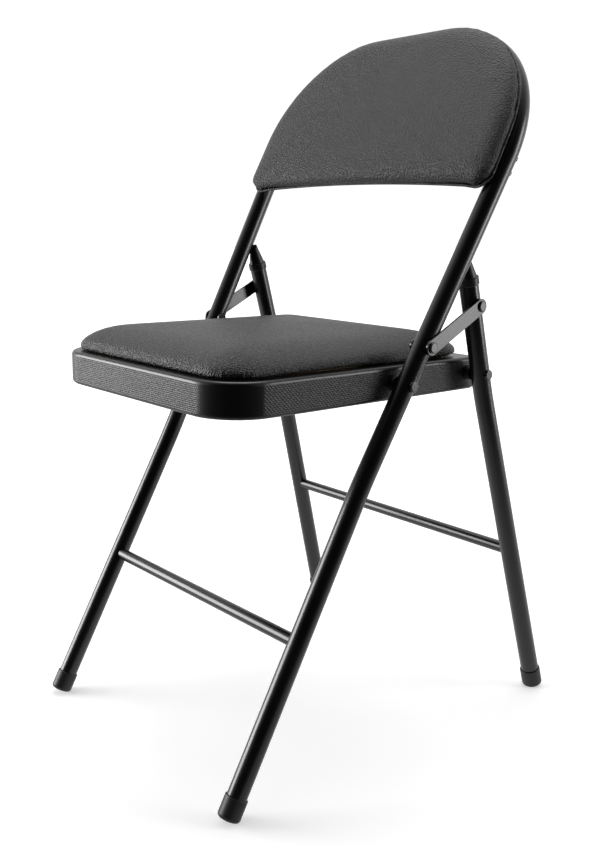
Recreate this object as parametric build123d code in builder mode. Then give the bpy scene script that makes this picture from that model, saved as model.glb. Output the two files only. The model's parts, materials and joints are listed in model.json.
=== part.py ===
"""Steel folding chair with padded seat and backrest, as separately named parts.

Millimetres, +Z up, +X towards the sitter's left, the seat faces -Y, the floor is Z = 0.
The front frame is one bent tube (both front legs and the backrest hoop).  The seat pan hangs
between the front frame (pivot A) and the rear legs (pivot B); on each side a flat link strap
joins the front frame (pivot D) to the rear leg (pivot C).
"""

import math
import os

from build123d import *

# ---------------------------------------------------------------- driving dimensions
Y_MID = 238.2            # lengthwise middle of the chair, measured from the front foot line
TUBE_R, WALL = 11.1, 1.2
BRACE_R = 7.15
CAP_R, CAP_LEN = 12.6, 24.0
LEAN = 30.0              # front frame leans back by this many degrees
FOOT_X, KNEE_X, KNEE_S, KNEE_BEND = 180.0, 180.3, 371.0, 600.0
HOOP_X, HOOP_S, HOOP_BEND = 210.3, 943.0, 165.0
REAR_FOOT_X, REAR_TOP_X, REAR_KNEE_T, REAR_TOP_T = 208.8, 188.5, 413.6, 552.0
REAR_V = (-0.2539, 0.9672)
PIVOT_A, PIVOT_D = (240.8, 425.0), (264.2, 465.5)
PIVOT_B, PIVOT_C = (366.0, 424.0), (344.84, 504.6)
PIN_R, PIN_HOLE_R, RIVET_R, RIVET_T = 4.0, 4.06, 6.2, 2.4
STRAP_X, STRAP_T, STRAP_R = 201.0, 2.5, 8.6
SEAT_W, SEAT_FRONT, SEAT_REAR, SEAT_H = 339.0, 11.0, 388.0, 38.0
SEAT_TILT, SEAT_R, SEAT_REAR_R, SHEET = 1.4, 56.0, 16.0, 1.5
PAD_BACK, PAD_FRONT = 13.4, 35.0
PAD_HALF, PAD_TOP, PAD_BOTTOM, PAD_CORNER = 207.0, 943.0, 722.0, 150.0

os.makedirs("parts", exist_ok=True)


def yz(point):
    """Side-view coordinates from the front foot line to the part's own frame."""
    return point[0] - Y_MID, point[1]


def along_x(x, point):
    """A plane across X at side-view point, its normal along +X."""
    y, z = yz(point)
    return Plane(origin=(x, y, z), x_dir=(0, 1, 0), z_dir=(1, 0, 0))


def save(part, node):
    part.label = node
    export_step(part, f"parts/{node}.step")


lean = math.radians(LEAN)
U = (0, math.sin(lean), math.cos(lean))
FRONT_N = (0, -math.cos(lean), math.sin(lean))
frame_plane = Plane(origin=(0, -4.6 - Y_MID, 0), x_dir=(1, 0, 0), z_dir=FRONT_N)
rear_plane = Plane(
    origin=(0, 477.3 - Y_MID, 0), x_dir=(1, 0, 0), z_dir=(0, -REAR_V[1], REAR_V[0])
)
tilt = math.radians(SEAT_TILT)
seat_plane = Plane(
    origin=(0, *yz(PIVOT_A)), x_dir=(1, 0, 0), z_dir=(0, math.sin(tilt), math.cos(tilt))
)
SEAT_Y0, SEAT_Y1 = SEAT_FRONT - PIVOT_A[0], SEAT_REAR - PIVOT_A[0]
SEAT_MID = (SEAT_Y0 + SEAT_Y1) / 2


def frame_x(s):
    """Half-spacing of the front tube axes at distance s up the leaning frame."""
    return KNEE_X + (HOOP_X - KNEE_X) * max(0.0, s - KNEE_S) / (HOOP_S - KNEE_S)


def frame_path(start):
    with BuildLine(frame_plane) as path:
        FilletPolyline(
            (FOOT_X, start),
            (KNEE_X, KNEE_S),
            (HOOP_X, HOOP_S),
            (-HOOP_X, HOOP_S),
            (-KNEE_X, KNEE_S),
            (-FOOT_X, start),
            radius=[KNEE_BEND, HOOP_BEND, HOOP_BEND, KNEE_BEND],
        )
    return path.line


def rear_path(side, start, end):
    with BuildLine(rear_plane) as path:
        FilletPolyline(
            (side * rear_x(start), start),
            (side * REAR_TOP_X, REAR_KNEE_T),
            (side * REAR_TOP_X, end),
            radius=KNEE_BEND,
        )
    return path.line


def rear_x(t):
    return REAR_FOOT_X + (REAR_TOP_X - REAR_FOOT_X) * min(1.0, t / REAR_KNEE_T)


def swept(path, outer, inner=0.0):
    """Round bar or tube along a path."""
    with BuildPart(mode=Mode.PRIVATE) as bar:
        with BuildSketch(Plane(origin=path @ 0, z_dir=path % 0)):
            Circle(outer)
            if inner:
                Circle(inner, mode=Mode.SUBTRACT)
        sweep(path=path)
    return bar.part


def pins(x0, x1, point, radius):
    """Cylinders along X from x0 to x1 on both sides of the chair."""
    with BuildPart(mode=Mode.PRIVATE) as pair:
        for side in (-1, 1):
            with BuildSketch(along_x(side * x0, point)):
                Circle(radius)
            extrude(amount=side * (x1 - x0))
    return pair.part


# ---------------------------------------------------------------- front frame
front_axis = frame_path(7.5)
front_core = swept(front_axis, TUBE_R + 0.01)
SCREW_S = (757.0, 775.0)
BACK_SCREWS = [(side * frame_x(s), s) for side in (-1, 1) for s in SCREW_S]

with BuildPart() as front_frame_tube:
    add(swept(front_axis, TUBE_R, TUBE_R - WALL))
    for pivot in (PIVOT_A, PIVOT_D):
        add(pins(170, 210, pivot, PIN_HOLE_R), mode=Mode.SUBTRACT)
    with BuildSketch(frame_plane.offset(-20)):
        with Locations(*BACK_SCREWS):
            Circle(2.25)
    extrude(amount=40, mode=Mode.SUBTRACT)
save(front_frame_tube.part, "front_frame_tube")

FRONT_BRACE_S = 194.3
with BuildPart() as front_cross_brace:
    with BuildSketch(Plane.YZ.offset(-178)):
        with Locations((frame_plane.from_local_coords((0, FRONT_BRACE_S, 0)).Y,
                        frame_plane.from_local_coords((0, FRONT_BRACE_S, 0)).Z)):
            Circle(BRACE_R)
            Circle(BRACE_R - 1.0, mode=Mode.SUBTRACT)
    extrude(amount=356)
    add(front_core, mode=Mode.SUBTRACT)
save(front_cross_brace.part, "front_cross_brace")

# ---------------------------------------------------------------- rear legs
rear_core = {}
for side, name in ((1, "rear_leg_left"), (-1, "rear_leg_right")):
    axis = rear_path(side, 4.5, REAR_TOP_T)
    rear_core[side] = swept(axis, TUBE_R + 0.01)
    with BuildPart() as rear_leg:
        add(swept(axis, TUBE_R, TUBE_R - WALL))
        add(pins(170, 210, PIVOT_B, PIN_HOLE_R), mode=Mode.SUBTRACT)
    save(rear_leg.part, name)

REAR_BRACE_T = 203.3
brace_at = rear_plane.from_local_coords((0, REAR_BRACE_T, 0))
with BuildPart() as rear_cross_brace:
    with BuildSketch(Plane.YZ.offset(-197)):
        with Locations((brace_at.Y, brace_at.Z)):
            Circle(BRACE_R)
            Circle(BRACE_R - 1.0, mode=Mode.SUBTRACT)
    extrude(amount=394)
    add(rear_core[1], mode=Mode.SUBTRACT)
    add(rear_core[-1], mode=Mode.SUBTRACT)
save(rear_cross_brace.part, "rear_cross_brace")


# ---------------------------------------------------------------- foot caps
def foot_cap(end_plane, node):
    """Closed sleeve over a tube end, worn flat where it stands on the floor."""
    with BuildPart() as cap:
        with BuildSketch(end_plane):
            Circle(CAP_R)
        extrude(amount=CAP_LEN)
        fillet(cap.edges().group_by(Axis((0, 0, 0), end_plane.z_dir))[0], 4.0)
        fillet(cap.edges().group_by(Axis((0, 0, 0), end_plane.z_dir))[-1], 0.8)
        with BuildSketch(end_plane.offset(3.0)):
            Circle(TUBE_R + 0.06)
        extrude(amount=CAP_LEN, mode=Mode.SUBTRACT)
        split(bisect_by=Plane.XY, keep=Keep.TOP)
    save(cap.part, node)


for side, tag in ((1, "left"), (-1, "right")):
    start = frame_plane.from_local_coords((side * FOOT_X, 4.4, 0))
    knee = frame_plane.from_local_coords((side * KNEE_X, KNEE_S, 0))
    foot_cap(Plane(origin=start, z_dir=knee - start), f"front_foot_{tag}")
    start = rear_plane.from_local_coords((side * rear_x(1.4), 1.4, 0))
    knee = rear_plane.from_local_coords((side * REAR_TOP_X, REAR_KNEE_T, 0))
    foot_cap(Plane(origin=start, z_dir=knee - start), f"rear_foot_{tag}")

# ---------------------------------------------------------------- caps on the rear leg tops
clear_plane = frame_plane.offset(-TUBE_R - 0.5)
for side, tag in ((1, "left"), (-1, "right")):
    top = rear_plane.from_local_coords((side * REAR_TOP_X, 545.9, 0))
    leg_dir = (0, *REAR_V)
    with BuildPart() as leg_cap:
        with BuildSketch(Plane(origin=top, z_dir=leg_dir)):
            Circle(12.2)
        extrude(amount=9.3)
        fillet(leg_cap.edges(), 1.0)
        with BuildSketch(Plane(origin=top, z_dir=leg_dir).offset(9.0)) as cone_base:
            Circle(10.4)
        extrude(amount=25, taper=13)
        with BuildSketch(Plane(origin=top, z_dir=leg_dir)):
            Circle(TUBE_R + 0.06)
        extrude(amount=REAR_TOP_T - 545.9 + 0.1, mode=Mode.SUBTRACT)
        split(bisect_by=clear_plane, keep=Keep.BOTTOM)
    save(leg_cap.part, f"leg_cap_{tag}")

# ---------------------------------------------------------------- link straps

def strap(side):
    (y0, z0), (y1, z1) = yz(PIVOT_D), yz(PIVOT_C)
    length = math.hypot(y1 - y0, z1 - z0)
    angle = math.degrees(math.atan2(z1 - z0, y1 - y0))
    base = Plane(
        origin=(side * STRAP_X, (y0 + y1) / 2, (z0 + z1) / 2), x_dir=(0, 1, 0), z_dir=(1, 0, 0)
    )
    with BuildPart(mode=Mode.PRIVATE) as bar:
        with BuildSketch(base):
            SlotCenterToCenter(length, 2 * STRAP_R, rotation=angle)
        extrude(amount=side * STRAP_T)
        fillet(bar.edges().filter_by(GeomType.LINE, reverse=True), 0.5)
        for pivot in (PIVOT_D, PIVOT_C):
            add(pins(STRAP_X - 1, STRAP_X + STRAP_T + 1, pivot, PIN_HOLE_R), mode=Mode.SUBTRACT)
    return bar.part


for side, tag in ((1, "left"), (-1, "right")):
    save(strap(side), f"link_{tag}")


# ---------------------------------------------------------------- rivets, spacers
def rivets(node, point, shaft, inner_head, outer_head):
    """Two mirrored rivets: shaft and flat heads given as (x start, x end) pairs."""
    with BuildPart() as pair:
        add(pins(*shaft, point, PIN_R))
        for head in (inner_head, outer_head):
            if head:
                add(pins(*head, point, RIVET_R))
        far = [e for e in pair.edges().filter_by(GeomType.CIRCLE)
               if abs(abs(e.center().X) - outer_head[1]) < 1e-4]
        fillet(far, 1.5)
    save(pair.part, node)


A_X, D_X = frame_x(PIVOT_A[1] / U[2]), frame_x(PIVOT_D[1] / U[2])
PAN_IN = SEAT_W / 2 - SHEET
rivets("seat_front_pivot_rivets", PIVOT_A, (PAN_IN - 2, A_X + TUBE_R + 1),
       (PAN_IN - 2.8, PAN_IN - 0.3), (A_X + TUBE_R + 0.35, A_X + TUBE_R + 0.35 + RIVET_T))
rivets("seat_rear_pivot_rivets", PIVOT_B, (PAN_IN - 2, REAR_TOP_X + TUBE_R + 1),
       (PAN_IN - 2.8, PAN_IN - 0.3), (REAR_TOP_X + TUBE_R + 0.1, REAR_TOP_X + TUBE_R + RIVET_T))
rivets("link_front_rivets", PIVOT_D, (D_X - TUBE_R - 1.5, STRAP_X + STRAP_T + 1),
       (D_X - TUBE_R - 2.7, D_X - TUBE_R - 0.4), (STRAP_X + STRAP_T + 0.3, STRAP_X + STRAP_T + 2.6))
rivets("link_rear_rivets", PIVOT_C, (STRAP_X - 0.9, STRAP_X + STRAP_T + 1),
       None, (STRAP_X + STRAP_T + 0.05, STRAP_X + STRAP_T + 2.5))

for node, point, outer_x in (
    ("seat_front_spacers", PIVOT_A, A_X - TUBE_R - 0.5),
    ("seat_rear_spacers", PIVOT_B, REAR_TOP_X - TUBE_R - 0.2),
):
    with BuildPart() as spacers:
        add(pins(SEAT_W / 2 + 0.25, outer_x, point, 8.5))
        add(pins(SEAT_W / 2, outer_x + 1, point, PIN_R + 0.1), mode=Mode.SUBTRACT)
    save(spacers.part, node)


# ---------------------------------------------------------------- seat
def seat_outline(inset, level, height, rear_r=SEAT_REAR_R):
    """Rectangle prism with larger front corners, inset from the pan's outline."""
    with BuildPart(mode=Mode.PRIVATE) as prism:
        with BuildSketch(seat_plane.offset(level)) as outline:
            with Locations((0, SEAT_MID)):
                Rectangle(SEAT_W - 2 * inset, SEAT_Y1 - SEAT_Y0 - 2 * inset)
            fillet(outline.vertices().group_by(Axis.Y)[0], SEAT_R - inset)
            fillet(outline.vertices().group_by(Axis.Y)[-1], max(rear_r - inset, 3))
        extrude(amount=height)
    return prism.part


def on_seat(x, y, z):
    return seat_plane.from_local_coords((x, y, z))


RIM = SEAT_H / 2
BOARD_IN, BOARD_T, CUSHION_REAR_R = 21.0, 6.0, 47.0
SEAT_SCREWS = [(x, y) for x in (-112, 112) for y in (SEAT_Y0 + 26, SEAT_Y1 - 26)]
with BuildPart() as seat_pan:
    add(seat_outline(0, -RIM, SEAT_H))
    rim_dir = Axis((0, 0, 0), seat_plane.z_dir)
    fillet(seat_pan.edges().group_by(rim_dir)[-1], 4.5)
    fillet(seat_pan.edges().group_by(rim_dir)[0], 4.5)
    add(seat_outline(SHEET, -RIM + SHEET, SEAT_H - 2 * SHEET), mode=Mode.SUBTRACT)
    add(seat_outline(31, RIM - 3, 6), mode=Mode.SUBTRACT)
    add(seat_outline(15, -RIM - 3, 6), mode=Mode.SUBTRACT)
    for pivot in (PIVOT_A, PIVOT_B):
        add(pins(160, 175, pivot, PIN_HOLE_R), mode=Mode.SUBTRACT)
    with BuildSketch(seat_plane.offset(RIM - 5)):
        with Locations(*SEAT_SCREWS):
            Circle(2.2)
    extrude(amount=8, mode=Mode.SUBTRACT)
save(seat_pan.part, "seat_pan")

with BuildPart() as seat_board:
    add(seat_outline(BOARD_IN, RIM + 0.1, BOARD_T, CUSHION_REAR_R))
    with BuildSketch(seat_plane.offset(RIM)):
        with Locations(*SEAT_SCREWS):
            Circle(2.05)
    extrude(amount=4.6, mode=Mode.SUBTRACT)
save(seat_board.part, "seat_board")

with BuildPart() as seat_board_screws:
    for level, radius, height in ((RIM - 4.0, 4.2, 2.3), (RIM - 2.0, 2.0, 6.2)):
        with BuildSketch(seat_plane.offset(level)):
            with Locations(*SEAT_SCREWS):
                Circle(radius)
        extrude(amount=height)
save(seat_board_screws.part, "seat_board_screws")

with BuildPart() as seat_crossbars:
    for y in (-150.0, 62.0):
        with BuildSketch(Plane(origin=on_seat(-PAN_IN + 0.1, y, 9.0), x_dir=(0, 1, 0), z_dir=(1, 0, 0))):
            Rectangle(24, 14)
            Rectangle(21.6, 11.6, mode=Mode.SUBTRACT)
        extrude(amount=2 * PAN_IN - 0.2)
save(seat_crossbars.part, "seat_crossbars")

with BuildPart() as seat_cushion:
    add(seat_outline(7, RIM + 0.4, 26, CUSHION_REAR_R))
    chamfer(seat_cushion.edges().group_by(rim_dir)[-1], length=18, length2=40)
    add(seat_outline(BOARD_IN - 0.4, RIM, BOARD_T + 0.5, CUSHION_REAR_R), mode=Mode.SUBTRACT)
save(seat_cushion.part, "seat_cushion")


# ---------------------------------------------------------------- backrest
def pad_outline(inset, level, height):
    """D-shaped slab in the plane of the hoop, its bottom edge slightly arched."""
    half, top, low = PAD_HALF - inset, PAD_TOP - inset, PAD_BOTTOM + inset
    r = PAD_CORNER - inset
    with BuildPart(mode=Mode.PRIVATE) as slab:
        with BuildSketch(frame_plane.offset(level)) as outline:
            with BuildLine():
                Line((-half, low), (-half, top - r))
                RadiusArc((-half, top - r), (-half + r, top), r)
                Line((-half + r, top), (half - r, top))
                RadiusArc((half - r, top), (half, top - r), r)
                Line((half, top - r), (half, low))
                ThreePointArc((half, low), (0, low + 8), (-half, low))
            make_face()
            fillet(outline.vertices().group_by(Axis.Y)[0], 20 - inset)
        extrude(amount=height)
    return slab.part


with BuildPart() as backrest_shell:
    add(pad_outline(4, TUBE_R + 0.15, 1.9))
    with BuildSketch(frame_plane.offset(TUBE_R - 1)):
        with Locations(*BACK_SCREWS):
            Circle(2.3)
    extrude(amount=5, mode=Mode.SUBTRACT)
save(backrest_shell.part, "backrest_shell")

with BuildPart() as backrest_pad:
    add(pad_outline(0, PAD_BACK, PAD_FRONT - PAD_BACK))
    pad_dir = Axis((0, 0, 0), FRONT_N)
    fillet(backrest_pad.edges().group_by(pad_dir)[-1], 12)
    fillet(backrest_pad.edges().group_by(pad_dir)[0], 2)
    with BuildSketch(frame_plane.offset(PAD_BACK - 1)):
        with Locations(*BACK_SCREWS):
            Circle(2.25)
    extrude(amount=4, mode=Mode.SUBTRACT)
save(backrest_pad.part, "backrest_pad")

with BuildPart() as backrest_screws:
    for level, radius, height in ((-TUBE_R - 2.0, 4.5, 1.9), (-TUBE_R - 0.3, 2.1, 27.0)):
        with BuildSketch(frame_plane.offset(level)):
            with Locations(*BACK_SCREWS):
                Circle(radius)
        extrude(amount=height)
save(backrest_screws.part, "backrest_screws")
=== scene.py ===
"""Looks, light and camera for the folding chair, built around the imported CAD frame."""

import json
import math

import bpy
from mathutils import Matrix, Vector


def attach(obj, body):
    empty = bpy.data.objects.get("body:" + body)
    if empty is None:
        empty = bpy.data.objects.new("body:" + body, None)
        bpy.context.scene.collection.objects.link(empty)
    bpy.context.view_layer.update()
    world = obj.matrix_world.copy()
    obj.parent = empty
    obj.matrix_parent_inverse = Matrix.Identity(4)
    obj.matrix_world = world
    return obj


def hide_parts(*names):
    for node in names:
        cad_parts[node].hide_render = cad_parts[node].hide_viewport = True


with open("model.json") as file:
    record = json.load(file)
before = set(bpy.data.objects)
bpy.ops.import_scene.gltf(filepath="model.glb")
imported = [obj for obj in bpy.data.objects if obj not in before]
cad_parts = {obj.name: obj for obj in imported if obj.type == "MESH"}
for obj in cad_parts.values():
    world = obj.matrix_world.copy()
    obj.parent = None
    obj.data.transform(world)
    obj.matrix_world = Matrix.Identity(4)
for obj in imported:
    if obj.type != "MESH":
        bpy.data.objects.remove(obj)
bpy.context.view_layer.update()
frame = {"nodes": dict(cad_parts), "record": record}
nodes = frame["nodes"]
scene = bpy.context.scene

MM = 0.001
CLOTH_FRAMES = 20                   # the cloth is let go on frame 1 and taken on this one
VOXEL = 5 * MM
PRESSURE = 4.0
Y_MID = 0.2382                      # the part's middle, measured from the front foot line
LEAN = math.radians(30)
SEAT_TILT = math.radians(1.4)
FRAME_U = Vector((0, math.sin(LEAN), math.cos(LEAN)))
FRAME_N = Vector((0, -math.cos(LEAN), math.sin(LEAN)))
FRAME_0 = Vector((0, -0.0046 - Y_MID, 0))
SEAT_N = Vector((0, math.sin(SEAT_TILT), math.cos(SEAT_TILT)))
SEAT_U = Vector((0, math.cos(SEAT_TILT), -math.sin(SEAT_TILT)))
PIVOT_A = Vector((0, 0.2408 - Y_MID, 0.425))


# ---------------------------------------------------------------- materials
def new_material(name, color, roughness, specular=0.5, coat=0.0):
    """A material with its node tree and its one shader."""
    mat = bpy.data.materials.new(name)
    mat.use_nodes = True
    bsdf = mat.node_tree.nodes["Principled BSDF"]
    bsdf.inputs["Base Color"].default_value = (*color, 1)
    bsdf.inputs["Roughness"].default_value = roughness
    bsdf.inputs["Specular IOR Level"].default_value = specular
    bsdf.inputs["Coat Weight"].default_value = coat
    return mat, mat.node_tree, bsdf


def node(tree, kind, **settings):
    """Adds a shader node; settings name its properties or its input sockets."""
    made = tree.nodes.new(kind)
    for key, value in settings.items():
        if hasattr(made, key):
            setattr(made, key, value)
        else:
            made.inputs[key].default_value = value
    return made


def coords(tree, scale=(1, 1, 1)):
    """Object coordinates, scaled."""
    where = node(tree, "ShaderNodeTexCoord")
    mapping = node(tree, "ShaderNodeMapping")
    mapping.inputs["Scale"].default_value = scale
    tree.links.new(where.outputs["Object"], mapping.inputs["Vector"])
    return mapping.outputs["Vector"]


def noise(tree, vector, scale, detail, rough=0.5):
    """Noise at these coordinates, about 0..1."""
    made = node(tree, "ShaderNodeTexNoise", Scale=scale, Detail=detail, Roughness=rough)
    tree.links.new(vector, made.inputs["Vector"])
    return made.outputs["Fac"]


def ramp(tree, value, low, high, out_low=0.0, out_high=1.0):
    """Maps low..high onto out_low..out_high, held at both ends."""
    made = node(tree, "ShaderNodeMapRange")
    for key, number in (("From Min", low), ("From Max", high),
                        ("To Min", out_low), ("To Max", out_high)):
        made.inputs[key].default_value = number
    tree.links.new(value, made.inputs["Value"])
    return made.outputs["Result"]


def math_node(tree, operation, a, b=0.0):
    """a and b are sockets or plain numbers."""
    made = node(tree, "ShaderNodeMath", operation=operation)
    for socket, value in ((made.inputs[0], a), (made.inputs[1], b)):
        if isinstance(value, (int, float)):
            socket.default_value = value
        else:
            tree.links.new(value, socket)
    return made.outputs[0]


def bump(tree, bsdf, height, distance, strength, under=None):
    """Raises height on the shader, on top of the normal given as under."""
    made = node(tree, "ShaderNodeBump", Strength=strength, Distance=distance)
    tree.links.new(height, made.inputs["Height"])
    if under is not None:
        tree.links.new(under, made.inputs["Normal"])
    tree.links.new(made.outputs["Normal"], bsdf.inputs["Normal"])
    return made.outputs["Normal"]


def coated_steel(name, color, roughness):
    """Smooth semi-gloss powder coat with a slight unevenness of sheen."""
    mat, tree, bsdf = new_material(name, color, roughness, coat=0.35)
    bsdf.inputs["Coat Roughness"].default_value = 0.2
    at = coords(tree)
    smear = noise(tree, at, 18, 2)
    tree.links.new(ramp(tree, smear, 0.3, 0.7, roughness - 0.03, roughness + 0.04),
                   bsdf.inputs["Roughness"])
    bump(tree, bsdf, noise(tree, at, 1500, 1), 0.00001, 0.2)
    return mat


def wrinkle_sheet(name, color):
    """Fine woven wrinkle on faces square to X or Y at rest, fading out at rounded corners."""
    mat, tree, bsdf = new_material(name, color, 0.36, specular=0.6)
    at = coords(tree)
    threads = []
    for direction in ("DIAGONAL", "Z"):
        wave = node(tree, "ShaderNodeTexWave", Scale=150.0, Distortion=1.5, Detail=2.0)
        wave.bands_direction = direction
        wave.inputs["Detail Scale"].default_value = 2.0
        tree.links.new(at, wave.inputs["Vector"])
        threads.append(wave.outputs["Fac"])
    weave = math_node(tree, "ADD", *threads)
    cells = node(tree, "ShaderNodeTexVoronoi", Scale=600.0)
    tree.links.new(at, cells.inputs["Vector"])
    height = math_node(tree, "ADD", weave, cells.outputs["Distance"])
    geometry = node(tree, "ShaderNodeNewGeometry")
    apart = node(tree, "ShaderNodeSeparateXYZ")
    tree.links.new(geometry.outputs["Normal"], apart.inputs[0])
    flat = math_node(tree, "MAXIMUM", math_node(tree, "ABSOLUTE", apart.outputs["X"]),
                     math_node(tree, "ABSOLUTE", apart.outputs["Y"]))
    mask = ramp(tree, flat, 0.985, 0.999)
    bump(tree, bsdf, math_node(tree, "MULTIPLY", height, mask), 0.00025, 0.9)
    tree.links.new(ramp(tree, mask, 0.0, 1.0, 0.30, 0.46), bsdf.inputs["Roughness"])
    return mat


def vinyl(name, color, grain):
    """Soft-sheen vinyl: pebbled grain, painted shade in its pits, over slow unevenness of the foam
    beneath.
    """
    mat, tree, bsdf = new_material(name, color, 0.42, specular=0.55)
    at = coords(tree)
    cells = node(tree, "ShaderNodeTexVoronoi", Scale=grain, feature="SMOOTH_F1")
    cells.inputs["Smoothness"].default_value = 0.4
    tree.links.new(at, cells.inputs["Vector"])
    crease = noise(tree, at, grain * 0.8, 4, 0.6)
    slow = noise(tree, at, 22, 2)
    grain_height = math_node(tree, "ADD", cells.outputs["Distance"], crease)
    soft = bump(tree, bsdf, slow, 0.002, 0.3)
    bump(tree, bsdf, grain_height, 0.0011, 1.0, soft)
    tree.links.new(ramp(tree, crease, 0.35, 0.65, 0.36, 0.5), bsdf.inputs["Roughness"])
    # Painted shade and painted highlight: the base colour darkens in the grain's pits and lightens
    # on its tops.
    shade = node(tree, "ShaderNodeMix", data_type="RGBA")
    shade.inputs["A"].default_value = (*[c * 0.6 for c in color], 1)
    shade.inputs["B"].default_value = (*[c * 1.5 for c in color], 1)
    tree.links.new(ramp(tree, grain_height, 0.5, 1.1), shade.inputs["Factor"])
    tree.links.new(shade.outputs["Result"], bsdf.inputs["Base Color"])
    return mat


def plain(name, grey, roughness):
    """Moulded plastic or rubber with a faint matte grain."""
    mat, tree, bsdf = new_material(name, (grey, grey, grey), roughness)
    bump(tree, bsdf, noise(tree, coords(tree), 400.0, 3), 0.00005, 0.6)
    return mat


def plywood(name):
    """Raw board with long grain along Y."""
    mat, tree, bsdf = new_material(name, (0.42, 0.31, 0.19), 0.7, specular=0.3)
    grain = noise(tree, coords(tree, (60, 3, 60)), 4, 6)
    shade = node(tree, "ShaderNodeMix", data_type="RGBA")
    shade.inputs["A"].default_value = (0.30, 0.20, 0.11, 1)
    shade.inputs["B"].default_value = (0.50, 0.38, 0.24, 1)
    tree.links.new(grain, shade.inputs["Factor"])
    tree.links.new(shade.outputs["Result"], bsdf.inputs["Base Color"])
    bump(tree, bsdf, grain, 0.0002, 0.5)
    return mat


LOOKS = {
    "coated_steel": coated_steel("coated_steel_look", (0.004, 0.004, 0.0042), 0.26),
    "coated_sheet": wrinkle_sheet("coated_sheet_look", (0.005, 0.005, 0.0052)),
    "fastener": coated_steel("fastener_look", (0.005, 0.005, 0.0052), 0.24),
    "vinyl": vinyl("vinyl_look", (0.013, 0.013, 0.0134), 520.0),
    "rubber_cap": plain("rubber_cap_look", 0.006, 0.42),
    "plastic_cap": plain("plastic_cap_look", 0.006, 0.36),
    "nylon": plain("nylon_look", 0.008, 0.45),
    "board": plywood("board_look"),
}
for part in frame["record"]["subparts"]:
    mesh = nodes[part["node"]].data
    mesh.materials.clear()
    mesh.materials.append(LOOKS[part["material_slot"]])


# ---------------------------------------------------------------- stuffed pieces
def apply_modifier(piece, kind, **settings):
    """Adds a modifier with these settings and applies it at once."""
    modifier = piece.modifiers.new(kind.lower(), kind)
    for key, value in settings.items():
        setattr(modifier, key, value)
    bpy.ops.object.modifier_apply(modifier=modifier.name)


def inflate(piece, pressure, held):
    """Runs the piece as cloth under inner pressure; held(point) says what can't move."""
    pins = piece.vertex_groups.new(name="held")
    pins.add([v.index for v in piece.data.vertices if held(v.co)], 1.0, "REPLACE")
    cloth = piece.modifiers.new("cloth", "CLOTH")
    cloth.settings.vertex_group_mass = "held"
    cloth.settings.use_pressure = True
    cloth.settings.uniform_pressure_force = pressure
    cloth.settings.effector_weights.gravity = 0.0
    cloth.settings.quality = 5
    cloth.settings.tension_stiffness = 15
    cloth.settings.bending_stiffness = 2.0
    cloth.point_cache.frame_start, cloth.point_cache.frame_end = 1, CLOTH_FRAMES
    for step in range(1, CLOTH_FRAMES + 1):
        scene.frame_set(step)
    bpy.ops.object.modifier_apply(modifier="cloth")
    scene.frame_set(1)


def stuffed(source, name, most, held, body, crown):
    """A padded piece from a CAD solid: inflated by at most this much, then crowned.

    crown(point, normal) gives the height of the visible face, and overrules the cloth there.
    """
    mesh = nodes[source].data.copy()
    mesh.name = name
    piece = bpy.data.objects.new(name, mesh)
    scene.collection.objects.link(piece)
    bpy.context.view_layer.objects.active = piece
    piece.select_set(True)
    apply_modifier(piece, "REMESH", mode="VOXEL", voxel_size=VOXEL)
    apply_modifier(piece, "SMOOTH", factor=0.5, iterations=3)
    before = [v.co.copy() for v in piece.data.vertices]
    inflate(piece, PRESSURE, held)
    mesh = piece.data
    for vertex, start in zip(mesh.vertices, before):
        move = vertex.co - start
        if move.length > most:
            vertex.co = start + move * (most / move.length)
    facing = [v.normal.copy() for v in mesh.vertices]
    for vertex, normal in zip(mesh.vertices, facing):
        vertex.co = crown(vertex.co, normal)
    apply_modifier(piece, "SMOOTH", factor=0.5, iterations=8)
    apply_modifier(piece, "SUBSURF", levels=1, render_levels=1)
    mesh = piece.data
    mesh.materials.clear()
    mesh.materials.append(LOOKS["vinyl"])
    mesh.polygons.foreach_set("use_smooth", [True] * len(mesh.polygons))
    piece.select_set(False)
    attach(piece, body)
    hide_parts(source)


SEAT_RIM = 19.0 * MM
SEAT_HALF, SEAT_FRONT, SEAT_REAR = 0.1625, -0.2228, 0.1402
SEAT_FRONT_CORNER, SEAT_REAR_CORNER = 0.049, 0.040
BACK_HALF, BACK_TOP, BACK_BOTTOM, BACK_CORNER = 0.207, 0.943, 0.722, 0.150
# Height of the visible face at the outline, then what the shoulder and the crown add to it.
SEAT_LEVELS = (4 * MM, 17 * MM, 16 * MM)
BACK_LEVELS = (19 * MM, 12 * MM, 5.5 * MM)


def seat_height(point):
    """Height above the pan's rim, square to the seat."""
    return (point - PIVOT_A).dot(SEAT_N) - SEAT_RIM


def frame_offset(point):
    """Distance in front of the hoop's plane."""
    return (point - FRAME_0).dot(FRAME_N)


def inside_seat(point):
    """Distance in from the cushion's rounded outline, seen square to the seat."""
    x = abs(point.x)
    y = (point - PIVOT_A).dot(SEAT_U)
    middle, half = (SEAT_FRONT + SEAT_REAR) / 2, (SEAT_REAR - SEAT_FRONT) / 2
    corner = SEAT_FRONT_CORNER if y < middle else SEAT_REAR_CORNER
    dx, dy = x - (SEAT_HALF - corner), abs(y - middle) - (half - corner)
    return corner - math.hypot(max(dx, 0), max(dy, 0)) - min(max(dx, dy), 0)


def inside_back(point):
    """Distance in from the backrest's outline, seen square to the hoop."""
    x, s = abs(point.x), (point - FRAME_0).dot(FRAME_U)
    dx, ds = x - (BACK_HALF - BACK_CORNER), s - (BACK_TOP - BACK_CORNER)
    top = BACK_CORNER - math.hypot(max(dx, 0), max(ds, 0)) - min(max(dx, ds), 0)
    return min(top, s - BACK_BOTTOM - 0.007 * (1 - (x / BACK_HALF) ** 2))


def dome(inward, width, power):
    """0 at the outline rising smoothly to 1 at width inside it."""
    return (1 - (1 - min(max(inward / width, 0.0), 1.0)) ** power) ** (1 / power)


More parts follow.
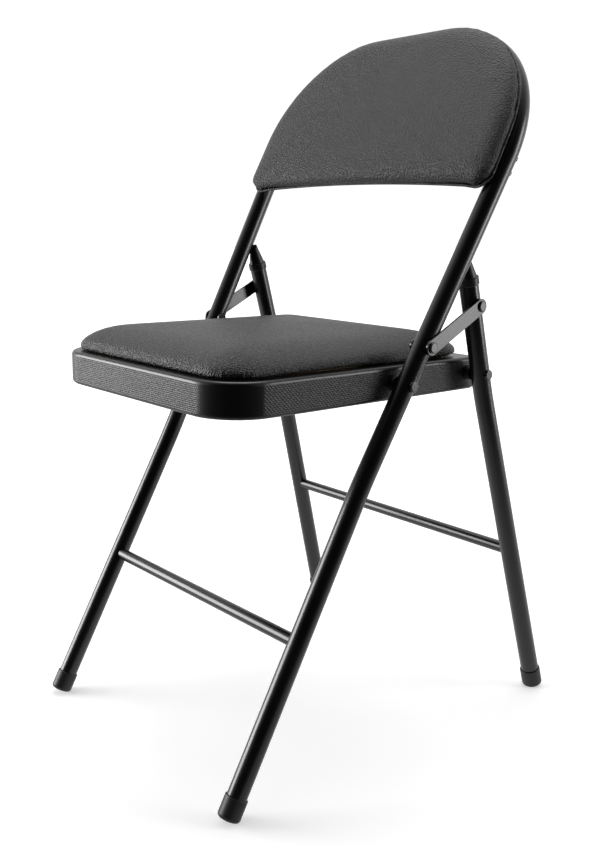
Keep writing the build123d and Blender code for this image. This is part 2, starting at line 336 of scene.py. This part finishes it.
def blend_in(value, low, high):
    """0 at low rising smoothly to 1 at high."""
    part = min(max((value - low) / (high - low), 0.0), 1.0)
    return part * part * (3 - 2 * part)


def seat_crown(point, normal):
    """Upper face of the cushion: a long soft shoulder, then a low crown."""
    inward = inside_seat(point)
    edge, shoulder, crown = SEAT_LEVELS
    level = edge + shoulder * dome(inward, 0.055, 1.7) + crown * dome(inward, 0.17, 1.5)
    height = seat_height(point)
    share = 1.0 if height > level else blend_in(normal.dot(SEAT_N), 0.1, 0.4)
    return point + SEAT_N * (level - height) * share


def back_crown(point, normal):
    """Front face of the backrest: a rounded shoulder, then a slight crown."""
    inward = inside_back(point)
    edge, shoulder, crown = BACK_LEVELS
    level = edge + shoulder * dome(inward, 0.026, 2.0) + crown * dome(inward, 0.10, 1.5)
    return point + FRAME_N * (level - frame_offset(point)) * blend_in(
        normal.dot(FRAME_N), 0.1, 0.4)


stuffed("seat_cushion", "seat_cushion_vinyl", 8 * MM,
        lambda p: seat_height(p) < 3 * MM, "seat", seat_crown)
stuffed("backrest_pad", "backrest_pad_vinyl", 6 * MM,
        lambda p: frame_offset(p) < 18 * MM, "front_frame", back_crown)


def welt(name, points, radius, body):
    """Thin sewn bead along the edge of a padded piece."""
    curve = bpy.data.curves.new(name, "CURVE")
    curve.dimensions, curve.bevel_depth, curve.bevel_resolution = "3D", radius, 3
    spline = curve.splines.new("POLY")
    spline.points.add(len(points) - 1)
    for knot, point in zip(spline.points, points):
        knot.co = (*point, 1)
    spline.use_cyclic_u = True
    bead = bpy.data.objects.new(name, curve)
    scene.collection.objects.link(bead)
    curve.materials.append(LOOKS["vinyl"])
    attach(bead, body)


def back_edge(inset, offset):
    """Points round the backrest outline, inset from it, at an offset from the hoop's plane."""
    half, top, low = BACK_HALF - inset, BACK_TOP - inset, BACK_BOTTOM + inset
    r, low_r = BACK_CORNER - inset, 0.020 - inset
    flat = []
    for centre, radius, first in (((half - r, top - r), r, 0), ((r - half, top - r), r, 90),
                                  ((low_r - half, low + low_r), low_r, 180)):
        for step in range(0, 91, 6):
            turn = math.radians(first + step)
            flat.append((centre[0] + radius * math.cos(turn), centre[1] + radius * math.sin(turn)))
    for step in range(1, 24):
        x = (low_r - half) * (1 - step / 12)
        flat.append((x, low + 0.008 * (1 - (x / half) ** 2)))
    for step in range(0, 91, 6):
        turn = math.radians(270 + step)
        flat.append((half - low_r + low_r * math.cos(turn), low + low_r + low_r * math.sin(turn)))
    return [Vector((x, 0, 0)) + FRAME_0 + FRAME_U * s + FRAME_N * offset for x, s in flat]


WELT_INSET, WELT_OFFSET, WELT_RADIUS = 0.002, 0.0150, 0.0016
welt("backrest_welt", back_edge(WELT_INSET, WELT_OFFSET), WELT_RADIUS, "front_frame")

# ---------------------------------------------------------------- stage, light and camera
AZIMUTH, PITCH = math.radians(48.9), math.radians(12.9)
BACK = Vector((math.sin(AZIMUTH) * math.cos(PITCH), -math.cos(AZIMUTH) * math.cos(PITCH),
               math.sin(PITCH)))                # from what the camera looks at, to the camera
CAMERA_AT = (0.8771, -0.5128 - Y_MID, 0.6123)
LENS, SENSOR = 40.32, 36.0                      # mm
FLOOR_RADIUS = 14


def camera_or_rest(tree, for_camera, for_rest, surface):
    """The camera sees one shader of the stage, and every reflection the other."""
    path = node(tree, "ShaderNodeLightPath")
    mix = node(tree, "ShaderNodeMixShader")
    tree.links.new(path.outputs["Is Camera Ray"], mix.inputs[0])
    tree.links.new(for_rest, mix.inputs[1])
    tree.links.new(for_camera, mix.inputs[2])
    tree.links.new(mix.outputs[0], surface)


def stage_floor():
    """Pale floor, evened out to white away from the chair."""
    bpy.ops.mesh.primitive_circle_add(vertices=96, radius=FLOOR_RADIUS, fill_type="NGON")
    floor = bpy.context.object
    floor.name = "floor"
    mat, tree, bsdf = new_material("floor_look", (0.9, 0.9, 0.9), 0.9, specular=0.0)
    bsdf.inputs["Emission Color"].default_value = (1, 1, 1, 1)
    where = node(tree, "ShaderNodeTexCoord")
    reach = node(tree, "ShaderNodeVectorMath", operation="LENGTH")
    tree.links.new(where.outputs["Object"], reach.inputs[0])
    tree.links.new(ramp(tree, reach.outputs["Value"], 0.5, 2.2, 0.40, 1.05),
                   bsdf.inputs["Emission Strength"])
    # What the chair mirrors of the floor falls off to dark towards the viewer.
    toward = node(tree, "ShaderNodeVectorMath", operation="DOT_PRODUCT")
    tree.links.new(where.outputs["Object"], toward.inputs[0])
    toward.inputs[1].default_value = (math.sin(AZIMUTH), -math.cos(AZIMUTH), 0)
    mirrored = node(tree, "ShaderNodeEmission")
    tree.links.new(ramp(tree, toward.outputs["Value"], 0.0, 0.9, 0.75, 0.03),
                   mirrored.inputs["Strength"])
    camera_or_rest(tree, bsdf.outputs[0], mirrored.outputs[0],
                   tree.nodes["Material Output"].inputs["Surface"])
    floor.data.materials.append(mat)


def area_light(name, position, target, width, height, watts):
    """A soft rectangular lamp, not seen by the camera itself."""
    light = bpy.data.lights.new(name, "AREA")
    light.shape = "RECTANGLE"
    light.size, light.size_y = width, height
    light.energy = watts
    lamp = bpy.data.objects.new(name, light)
    scene.collection.objects.link(lamp)
    lamp.location = position
    lamp.rotation_euler = (Vector(position) - Vector(target)).to_track_quat("Z", "Y").to_euler()
    lamp.visible_camera = False


def world_light():
    """White behind the chair for the camera; for everything else a room, dark at the camera."""
    world = bpy.data.worlds.new("studio")
    scene.world = world
    world.use_nodes = True
    tree = world.node_tree
    tree.nodes.clear()
    out = node(tree, "ShaderNodeOutputWorld")
    seen = node(tree, "ShaderNodeBackground", Strength=1.05)
    room = node(tree, "ShaderNodeBackground")
    seen.inputs["Color"].default_value = (1, 1, 1, 1)
    where = node(tree, "ShaderNodeTexCoord")
    toward = node(tree, "ShaderNodeVectorMath", operation="DOT_PRODUCT")
    tree.links.new(where.outputs["Generated"], toward.inputs[0])
    toward.inputs[1].default_value = BACK
    tree.links.new(ramp(tree, toward.outputs["Value"], -0.25, 0.7, 1.0, 0.02),
                   room.inputs["Strength"])
    camera_or_rest(tree, seen.outputs[0], room.outputs[0], out.inputs["Surface"])


stage_floor()
world_light()
area_light("key_light", (-1.9, -1.75, 0.75), (0, 0, 0.55), 1.5, 1.6, 62)
area_light("side_light", (2.0, 1.8, 0.9), (0, 0.1, 0.5), 0.9, 2.0, 26)
area_light("top_light", (-0.5, 0.5, 2.8), (0, 0, 0.4), 1.6, 1.6, 22)

camera_data = bpy.data.cameras.new("camera")
camera_data.lens, camera_data.sensor_width = LENS, SENSOR
camera = bpy.data.objects.new("camera", camera_data)
scene.collection.objects.link(camera)
camera.location = CAMERA_AT
camera.rotation_euler = BACK.to_track_quat("Z", "Y").to_euler()
scene.camera = camera
scene.view_settings.view_transform = "Standard"
scene.view_settings.look = "None"

bpy.context.view_layer.update()
